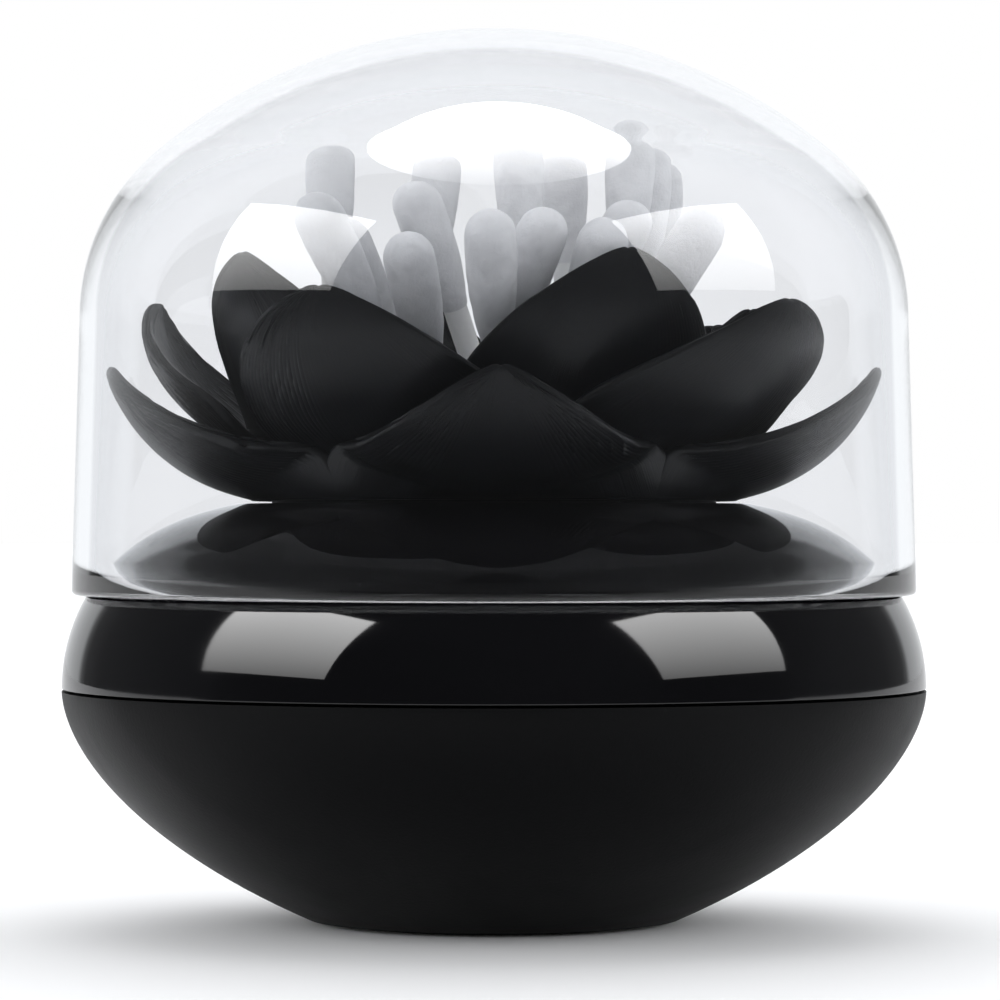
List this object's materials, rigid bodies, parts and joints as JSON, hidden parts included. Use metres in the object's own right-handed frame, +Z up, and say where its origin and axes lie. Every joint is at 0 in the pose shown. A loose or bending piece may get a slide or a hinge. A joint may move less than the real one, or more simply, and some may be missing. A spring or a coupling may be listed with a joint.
{
  "type": "cotton swab holder",
  "caption": "Round cotton swab holder: a lotus flower frames the swabs on a pebble-shaped body, under a clear dome lid that lifts off.",
  "frame": {"origin": "centre of the underside of the foot pad, on the body's axis", "axes": "+Z up along the body's axis, -Y to the front as pictured, +X to the right"},
  "size_m": [0.087, 0.087, 0.09],
  "materials": {
    "clear_plastic": "clear, polished",
    "gloss_black": "high gloss",
    "matt_black": "fine matt texture",
    "petal_black": "satin, finely ribbed",
    "cup_black": "matt",
    "foot_rubber": "matt",
    "cotton": "cotton heads on white paper sticks"
  },
  "bodies": {
    "base": {"foot_pad": "foot_rubber", "lower_bowl": "matt_black", "upper_shell": "gloss_black", "swab_cup": "cup_black", "outer_petals": "petal_black", "middle_petals": "petal_black", "inner_petals": "petal_black", "swab_01": "cotton", "swab_02": "cotton", "swab_03": "cotton", "swab_04": "cotton", "swab_05": "cotton", "swab_06": "cotton", "swab_07": "cotton", "swab_08": "cotton", "swab_09": "cotton", "swab_10": "cotton", "swab_11": "cotton", "swab_12": "cotton", "swab_13": "cotton", "swab_14": "cotton", "swab_15": "cotton", "swab_16": "cotton"},
    "lid": {"clear_lid": "clear_plastic"}
  },
  "joints": [
    {"name": "lid_lift", "type": "slide", "parent": "base", "child": "lid", "axis": [0, 0, 1], "range_m": [0, 0.06]}
  ]
}
